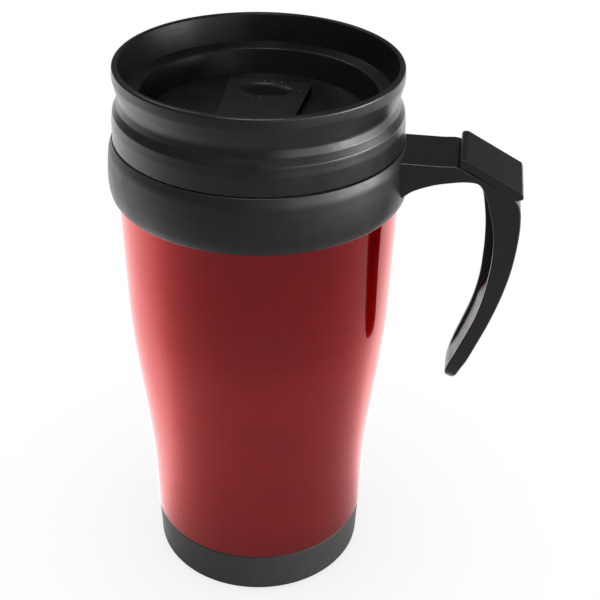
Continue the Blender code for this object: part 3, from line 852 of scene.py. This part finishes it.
def threaded_plug(name):
    """The lid's lower half: a cup with a flange, a thread, a pouring hole and a vent."""
    low, high = span("lid_plug")
    floor = low.z + PLUG_FLOOR_T
    profile = [
        (0, floor),
        (PLUG_INNER_R, floor, 0.8),
        (PLUG_INNER_R, high.z, 0.3),
        (PLUG_NECK_R, high.z, 0.3),
        (PLUG_NECK_R, PLUG_FLANGE_Z[1], 0.3),
        (high.x, PLUG_FLANGE_Z[1], 0.25),
        (high.x, PLUG_FLANGE_Z[0], 0.25),
        (PLUG_R, PLUG_FLANGE_Z[0], 0.2),
        (PLUG_R, low.z, 0.8),
        (0, low.z),
    ]
    plug = turned(name, profile)
    ridge = thread("ridge", PLUG_THREAD_CREST, PLUG_R, THREAD_START_Z, PLUG_THREAD_START_DEG,
                   PLUG_THREAD_TURNS)
    boolean(plug, ridge, "UNION")
    for hole_y, half_x, half_y in PLUG_HOLES:
        hole = prism("hole", ellipse(hole_y, half_x, half_y), low.z - OVERSHOOT, floor + OVERSHOOT)
        boolean(plug, hole, "DIFFERENCE")
    return plug


def gasket(name):
    """The lid's seal: a soft ring with a rounded lip and a groove in its outer side."""
    low, high = span("lid_gasket")
    profile = [
        (high.x, high.z, 0.3),
        (high.x, low.z + 1.1, 0.1),
        (high.x - 0.25, low.z + 0.8, 0.1),
        (high.x, low.z + 0.5, 0.1),
        (high.x - 0.3, low.z, 0.3),
        (GASKET_INNER_R, low.z, 0.2),
        (GASKET_INNER_R, high.z, 0.2),
    ]
    return turned(name, profile)


def slide_plate(name):
    """Plate with a hollow for a fingertip, a pocket for the seal and a neck through the deck."""
    low, high = span("sip_slider")
    bottom = SLIDER_BOTTOM_Z
    front, back = low.y, high.y
    corners = [(-SLIDER_HALF_FRONT, front, 1.4), (SLIDER_HALF_FRONT, front, 1.4),
               (high.x, back, 1.2), (low.x, back, 1.2)]
    plate = prism(name, rounded(corners), bottom, high.z)
    soften(boolean(plate, finger_hollow(high.z), "DIFFERENCE"), 0.3)
    pocket = rectangle((-SEAL_POCKET_HALF_X, SEAL_POCKET_HALF_X), SEAL_POCKET_Y, 3.5)
    boolean(plate, prism("pocket", pocket, bottom - OVERSHOOT, bottom + SEAL_POCKET_T), "DIFFERENCE")
    neck = prism("neck", rectangle((-NECK_HALF_X, NECK_HALF_X), NECK_Y, 0.6), low.z, bottom + 0.5)
    boolean(plate, neck, "UNION")
    for x, y in marks():
        boolean(plate, dot(x, y, high.z), "UNION")
    return plate


def finger_hollow(top):
    """An ellipsoid that cuts the finger dish, FINGER_DEPTH below the plate's top."""
    work = bmesh.new()
    bmesh.ops.create_uvsphere(work, u_segments=96, v_segments=48, radius=1.0)
    height = FINGER_DEPTH + FINGER_RISE
    spread = 1 / math.sqrt(1 - (FINGER_RISE / height) ** 2)
    size = (FINGER_RADII[0] * spread * MM, FINGER_RADII[1] * spread * MM, height * MM)
    bmesh.ops.scale(work, vec=size, verts=work.verts)
    bmesh.ops.translate(work, vec=(0.0, FINGER_Y * MM, (top + FINGER_RISE) * MM), verts=work.verts)
    return close_mesh(work, "hollow")


def marks():
    """Places of the raised dots: three behind the finger hollow, three in front of it, one at its end."""
    behind = [(-1.6, 20.35), (1.0, 20.4), (3.6, 20.3)]
    before = [(-3.4, 7.2), (-0.8, 6.8), (1.8, 7.2)]
    return [*behind, *before, (10.6, FINGER_Y)]


def dot(x, y, top):
    """A flattened ball, sunk to just past its middle."""
    work = bmesh.new()
    bmesh.ops.create_uvsphere(work, u_segments=20, v_segments=12, radius=DOT_RADIUS * MM)
    bmesh.ops.scale(work, vec=(1.0, 1.0, DOT_SQUASH), verts=work.verts)
    bmesh.ops.translate(work, vec=(x * MM, y * MM, (top - DOT_SINK) * MM), verts=work.verts)
    return close_mesh(work, "dot")


def soft_plate(name, node, corner, edge):
    """A flat plate that fills a CAD node's box, with rounded corners and edges."""
    low, high = span(node)
    outline = rectangle((low.x, high.x), (low.y, high.y), corner)
    return soften(prism(name, outline, low.z, high.z), edge)


def slide_seal(name):
    """The soft pad over the sip hole."""
    return soft_plate(name, "slider_seal", 3.2, 0.25)


def slide_keeper(name):
    """The plate under the deck that holds the slider's neck."""
    low, high = span("slider_clip")
    neck = rectangle((-NECK_HALF_X - GAP, NECK_HALF_X + GAP), (NECK_Y[0] - GAP, NECK_Y[1] + GAP))
    hole = prism("hole", neck, low.z - OVERSHOOT, high.z + OVERSHOOT)
    return boolean(soft_plate(name, "slider_clip", 1.5, 0.3), hole, "DIFFERENCE")


# ---------------------------------------------------------------- assembly

def materials():
    """One material for each of the record's material slots."""
    finger_rim = span("sip_slider")[1].z - 0.2
    return {
        "foot_rubber": soft_rubber("foot_rubber", 0.018, 0.80),
        "base_plastic": moulded_plastic("base_plastic", 0.032, 0.50, grain=0.012),
        # The red gets painted shade, fading in from 30 mm down to its darkest at 12 mm.
        "red_clear_plastic": red_coated_metal("red_clear_plastic", painted_shade_z=(12.0, 30.0)),
        "liner_steel": turned_steel("liner_steel"),
        "liner_seal_rubber": soft_rubber("liner_seal_rubber", 0.50, 0.60),
        "collar_plastic": moulded_plastic("collar_plastic", BLACK, 0.42, grain=0.008),
        "handle_plastic": moulded_plastic("handle_plastic", BLACK, 0.37, grain=0.006),
        "thumb_rest_plastic": moulded_plastic("thumb_rest_plastic", BLACK * 0.9, 0.40, grain=0.008),
        # The lid's inner walls get painted shade.
        "lid_plastic": moulded_plastic("lid_plastic", BLACK, 0.34, grain=0.014, rings=0.035,
                                       painted_shade_inside=True),
        "plug_plastic": moulded_plastic("plug_plastic", BLACK, 0.38, grain=0.008),
        "gasket_rubber": soft_rubber("gasket_rubber", 0.45, 0.60),
        # The slider's finger hollow gets painted shade below its rim.
        "slider_plastic": moulded_plastic("slider_plastic", BLACK * 1.2, 0.40, grain=0.010,
                                          painted_shade_below=finger_rim),
        "slider_seal_rubber": soft_rubber("slider_seal_rubber", 0.45, 0.60),
        "clip_plastic": moulded_plastic("clip_plastic", BLACK, 0.40, grain=0.008),
    }


# (builder, CAD node, body that it rides on, material slot)
PIECES = [
    (foot_pad, "base_foot_pad", "mug", "foot_rubber"),
    (base_cup, "base_cap", "mug", "base_plastic"),
    (body_shell, "outer_shell", "mug", "red_clear_plastic"),
    (steel_liner, "inner_liner", "mug", "liner_steel"),
    (liner_gasket, "liner_seal", "mug", "liner_seal_rubber"),
    (collar, "collar_ring", "mug", "collar_plastic"),
    (grip, "handle", "mug", "handle_plastic"),
    (thumb_plate, "thumb_rest", "mug", "thumb_rest_plastic"),
    (gasket, "lid_gasket", "lid_seal_ring", "gasket_rubber"),
    (lid_moulding, "lid_body", "lid", "lid_plastic"),
    (threaded_plug, "lid_plug", "lid", "plug_plastic"),
    (slide_plate, "sip_slider", "slider", "slider_plastic"),
    (slide_seal, "slider_seal", "slider", "slider_seal_rubber"),
    (slide_keeper, "slider_clip", "slider", "clip_plastic"),
]


def build_pieces():
    looks = materials()
    for build, node, body, slot in PIECES:
        piece = build(node + "_visual")
        piece.data.materials.clear()
        piece.data.materials.append(looks[slot])
        piece.data.shade_smooth()
        piece.data.set_sharp_from_angle(angle=math.radians(SHARP_ANGLE))
        # Large faces set the shading of the fillets beside them, so flat walls stay flat.
        weighted = piece.modifiers.new("shading", "WEIGHTED_NORMAL")
        weighted.keep_sharp = True
        weighted.weight = 90
        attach(piece, body)
        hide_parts(node)


# ---------------------------------------------------------------- floor, light and camera

def view_axes():
    """The camera's right, up and forward directions in the frame."""
    pitch, yaw, roll = (math.radians(a) for a in (CAMERA_PITCH, CAMERA_YAW, CAMERA_ROLL))
    forward = Vector((math.sin(yaw) * math.cos(pitch), math.cos(yaw) * math.cos(pitch), -math.sin(pitch)))
    level = Vector((math.cos(yaw), -math.sin(yaw), 0.0))
    upright = level.cross(forward)
    right = level * math.cos(roll) + upright * math.sin(roll)
    up = upright * math.cos(roll) - level * math.sin(roll)
    turn = Matrix.Rotation(math.radians(HANDLE_TURN), 3, "Z")
    return turn @ right, turn @ up, turn @ forward


def add_camera():
    right, up, forward = view_axes()
    data = bpy.data.cameras.new("camera")
    data.lens = CAMERA_LENS
    data.sensor_width = CAMERA_SENSOR
    data.clip_start = 0.01
    camera = new_object("camera", data)
    turn = Matrix.Rotation(math.radians(HANDLE_TURN), 3, "Z")
    place = turn @ Vector((0.0, -CAMERA_BACK * MM, CAMERA_HEIGHT * MM))
    facing = Matrix((right, up, -forward)).transposed()
    camera.matrix_world = Matrix.Translation(place) @ facing.to_4x4()
    bpy.context.scene.camera = camera


def from_camera(right_deg, height_deg, distance):
    """A place at so many degrees to the right of the camera, seen from the mug, and above its middle."""
    turn = math.radians(HANDLE_TURN - 90.0 + right_deg)
    rise = math.radians(height_deg)
    level = distance * math.cos(rise)
    height = MUG_MIDDLE + distance * math.sin(rise)
    return Vector((level * math.cos(turn), level * math.sin(turn), height)) * MM


def add_softbox(name, right_deg, height_deg, distance, size, watts):
    """A soft rectangular light, size (width, height), that points at the middle of the mug."""
    data = bpy.data.lights.new(name, "AREA")
    data.shape = "RECTANGLE"
    data.size = size[0] * MM
    data.size_y = size[1] * MM
    data.energy = watts
    light = new_object(name, data)
    light.location = from_camera(right_deg, height_deg, distance)
    aim = Vector((0.0, 0.0, MUG_MIDDLE * MM)) - light.location
    light.rotation_euler = aim.to_track_quat("-Z", "Y").to_euler()
    light.visible_camera = False


def floor_disc():
    """A large disc just under the foot pad."""
    mesh = bpy.data.meshes.new("floor")
    work = bmesh.new()
    bmesh.ops.create_circle(work, cap_ends=True, radius=FLOOR_RADIUS * MM, segments=64)
    work.to_mesh(mesh)
    work.free()
    floor = new_object("floor", mesh)
    floor.location.z = -FLOOR_DROP * MM
    return floor


def glow_round_camera(look):
    """The glow by direction: dim on the camera's side of the mug and bright behind it.

    The direction is taken from the camera, so that every view is lit alike.
    """
    away = look.node("ShaderNodeVectorTransform", {"Vector": GLOW_AXIS}, vector_type="VECTOR",
                     convert_from="CAMERA", convert_to="WORLD").outputs["Vector"]
    behind = look.level(away, "NORMALIZE")
    outward = look.level(look.place, "NORMALIZE")
    turn = look.range(look.dot(outward, behind), 0.0, 1.0, -1.0, 1.0)
    ramp = look.node("ShaderNodeValToRGB", {"Fac": turn})
    ramp.color_ramp.interpolation = "B_SPLINE"
    elements = ramp.color_ramp.elements
    while len(elements) < len(GLOW_STOPS):
        elements.new(0.5)
    for element, (place, value) in zip(elements, GLOW_STOPS):
        element.position = place
        element.color = (value, value, value, 1.0)
    return ramp.outputs["Color"]


def floor_glow(look, shade):
    """The floor's light in reflections: stronger close to the mug, fading to the room's far away."""
    reach = look.maths("DIVIDE", look.level(look.place, "LENGTH"), MM)
    even = look.maths("MULTIPLY", look.range(shade, *GLOW_SCALE, 0.0, 1.0), glow_round_camera(look))
    close = look.maths("MULTIPLY", look.range(reach, CLOSE_GLOW, 1.0, *CLOSE_REACH), even)
    near = look.maths("MINIMUM", close, GLOW_LIMIT)
    far = look.range(reach, 0.0, 1.0, *FADE_REACH)
    return look.node("ShaderNodeMix", {0: far, 2: near, 3: ROOM_GLOW}, data_type="FLOAT").outputs[0]


def add_floor():
    """A plain floor: pale to the camera, a soft glow in reflections, and not there from below."""
    floor = floor_disc()
    look = Shader("floor")
    look.tree.nodes.remove(look.surface)
    shade = look.node("ShaderNodeAmbientOcclusion", {"Distance": CONTACT_SHADOW * MM}, samples=8)
    shade = shade.outputs["AO"]
    seen = look.colour(shade, [CONTACT_TONE] * 3, [1.0] * 3, 0.35, 0.96)
    sight = look.node("ShaderNodeLightPath").outputs["Is Camera Ray"]
    pale = look.node("ShaderNodeEmission", {"Color": seen}).outputs[0]
    lit = look.node("ShaderNodeEmission", {"Strength": floor_glow(look, shade)}).outputs[0]
    above = look.node("ShaderNodeMixShader", {0: sight, 1: lit, 2: pale}).outputs[0]
    below = look.node("ShaderNodeNewGeometry").outputs["Backfacing"]
    gone = look.node("ShaderNodeBsdfTransparent").outputs[0]
    surface = look.node("ShaderNodeMixShader", {0: below, 1: above, 2: gone}).outputs[0]
    look.feed(look.tree.nodes["Material Output"].inputs["Surface"], surface)
    floor.data.materials.append(look.material)


def add_world():
    """Dim room light, with a pale backdrop for the camera only."""
    world = bpy.data.worlds.new("studio")
    bpy.context.scene.world = world
    world.use_nodes = True
    nodes, links = world.node_tree.nodes, world.node_tree.links
    room = nodes["Background"]
    room.inputs["Color"].default_value = (1.0, 1.0, 1.0, 1.0)
    room.inputs["Strength"].default_value = ROOM_GLOW
    backdrop = nodes.new("ShaderNodeBackground")
    backdrop.inputs["Color"].default_value = (1.0, 1.0, 1.0, 1.0)
    sight = nodes.new("ShaderNodeLightPath")
    mix = nodes.new("ShaderNodeMixShader")
    links.new(sight.outputs["Is Camera Ray"], mix.inputs[0])
    links.new(room.outputs[0], mix.inputs[1])
    links.new(backdrop.outputs[0], mix.inputs[2])
    links.new(mix.outputs[0], nodes["World Output"].inputs["Surface"])


def add_stage():
    add_floor()
    add_world()
    for softbox in SOFTBOXES:
        add_softbox(*softbox)
    bpy.context.scene.view_settings.view_transform = "Standard"
    add_camera()


def main():
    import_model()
    build_pieces()
    add_stage()


main()
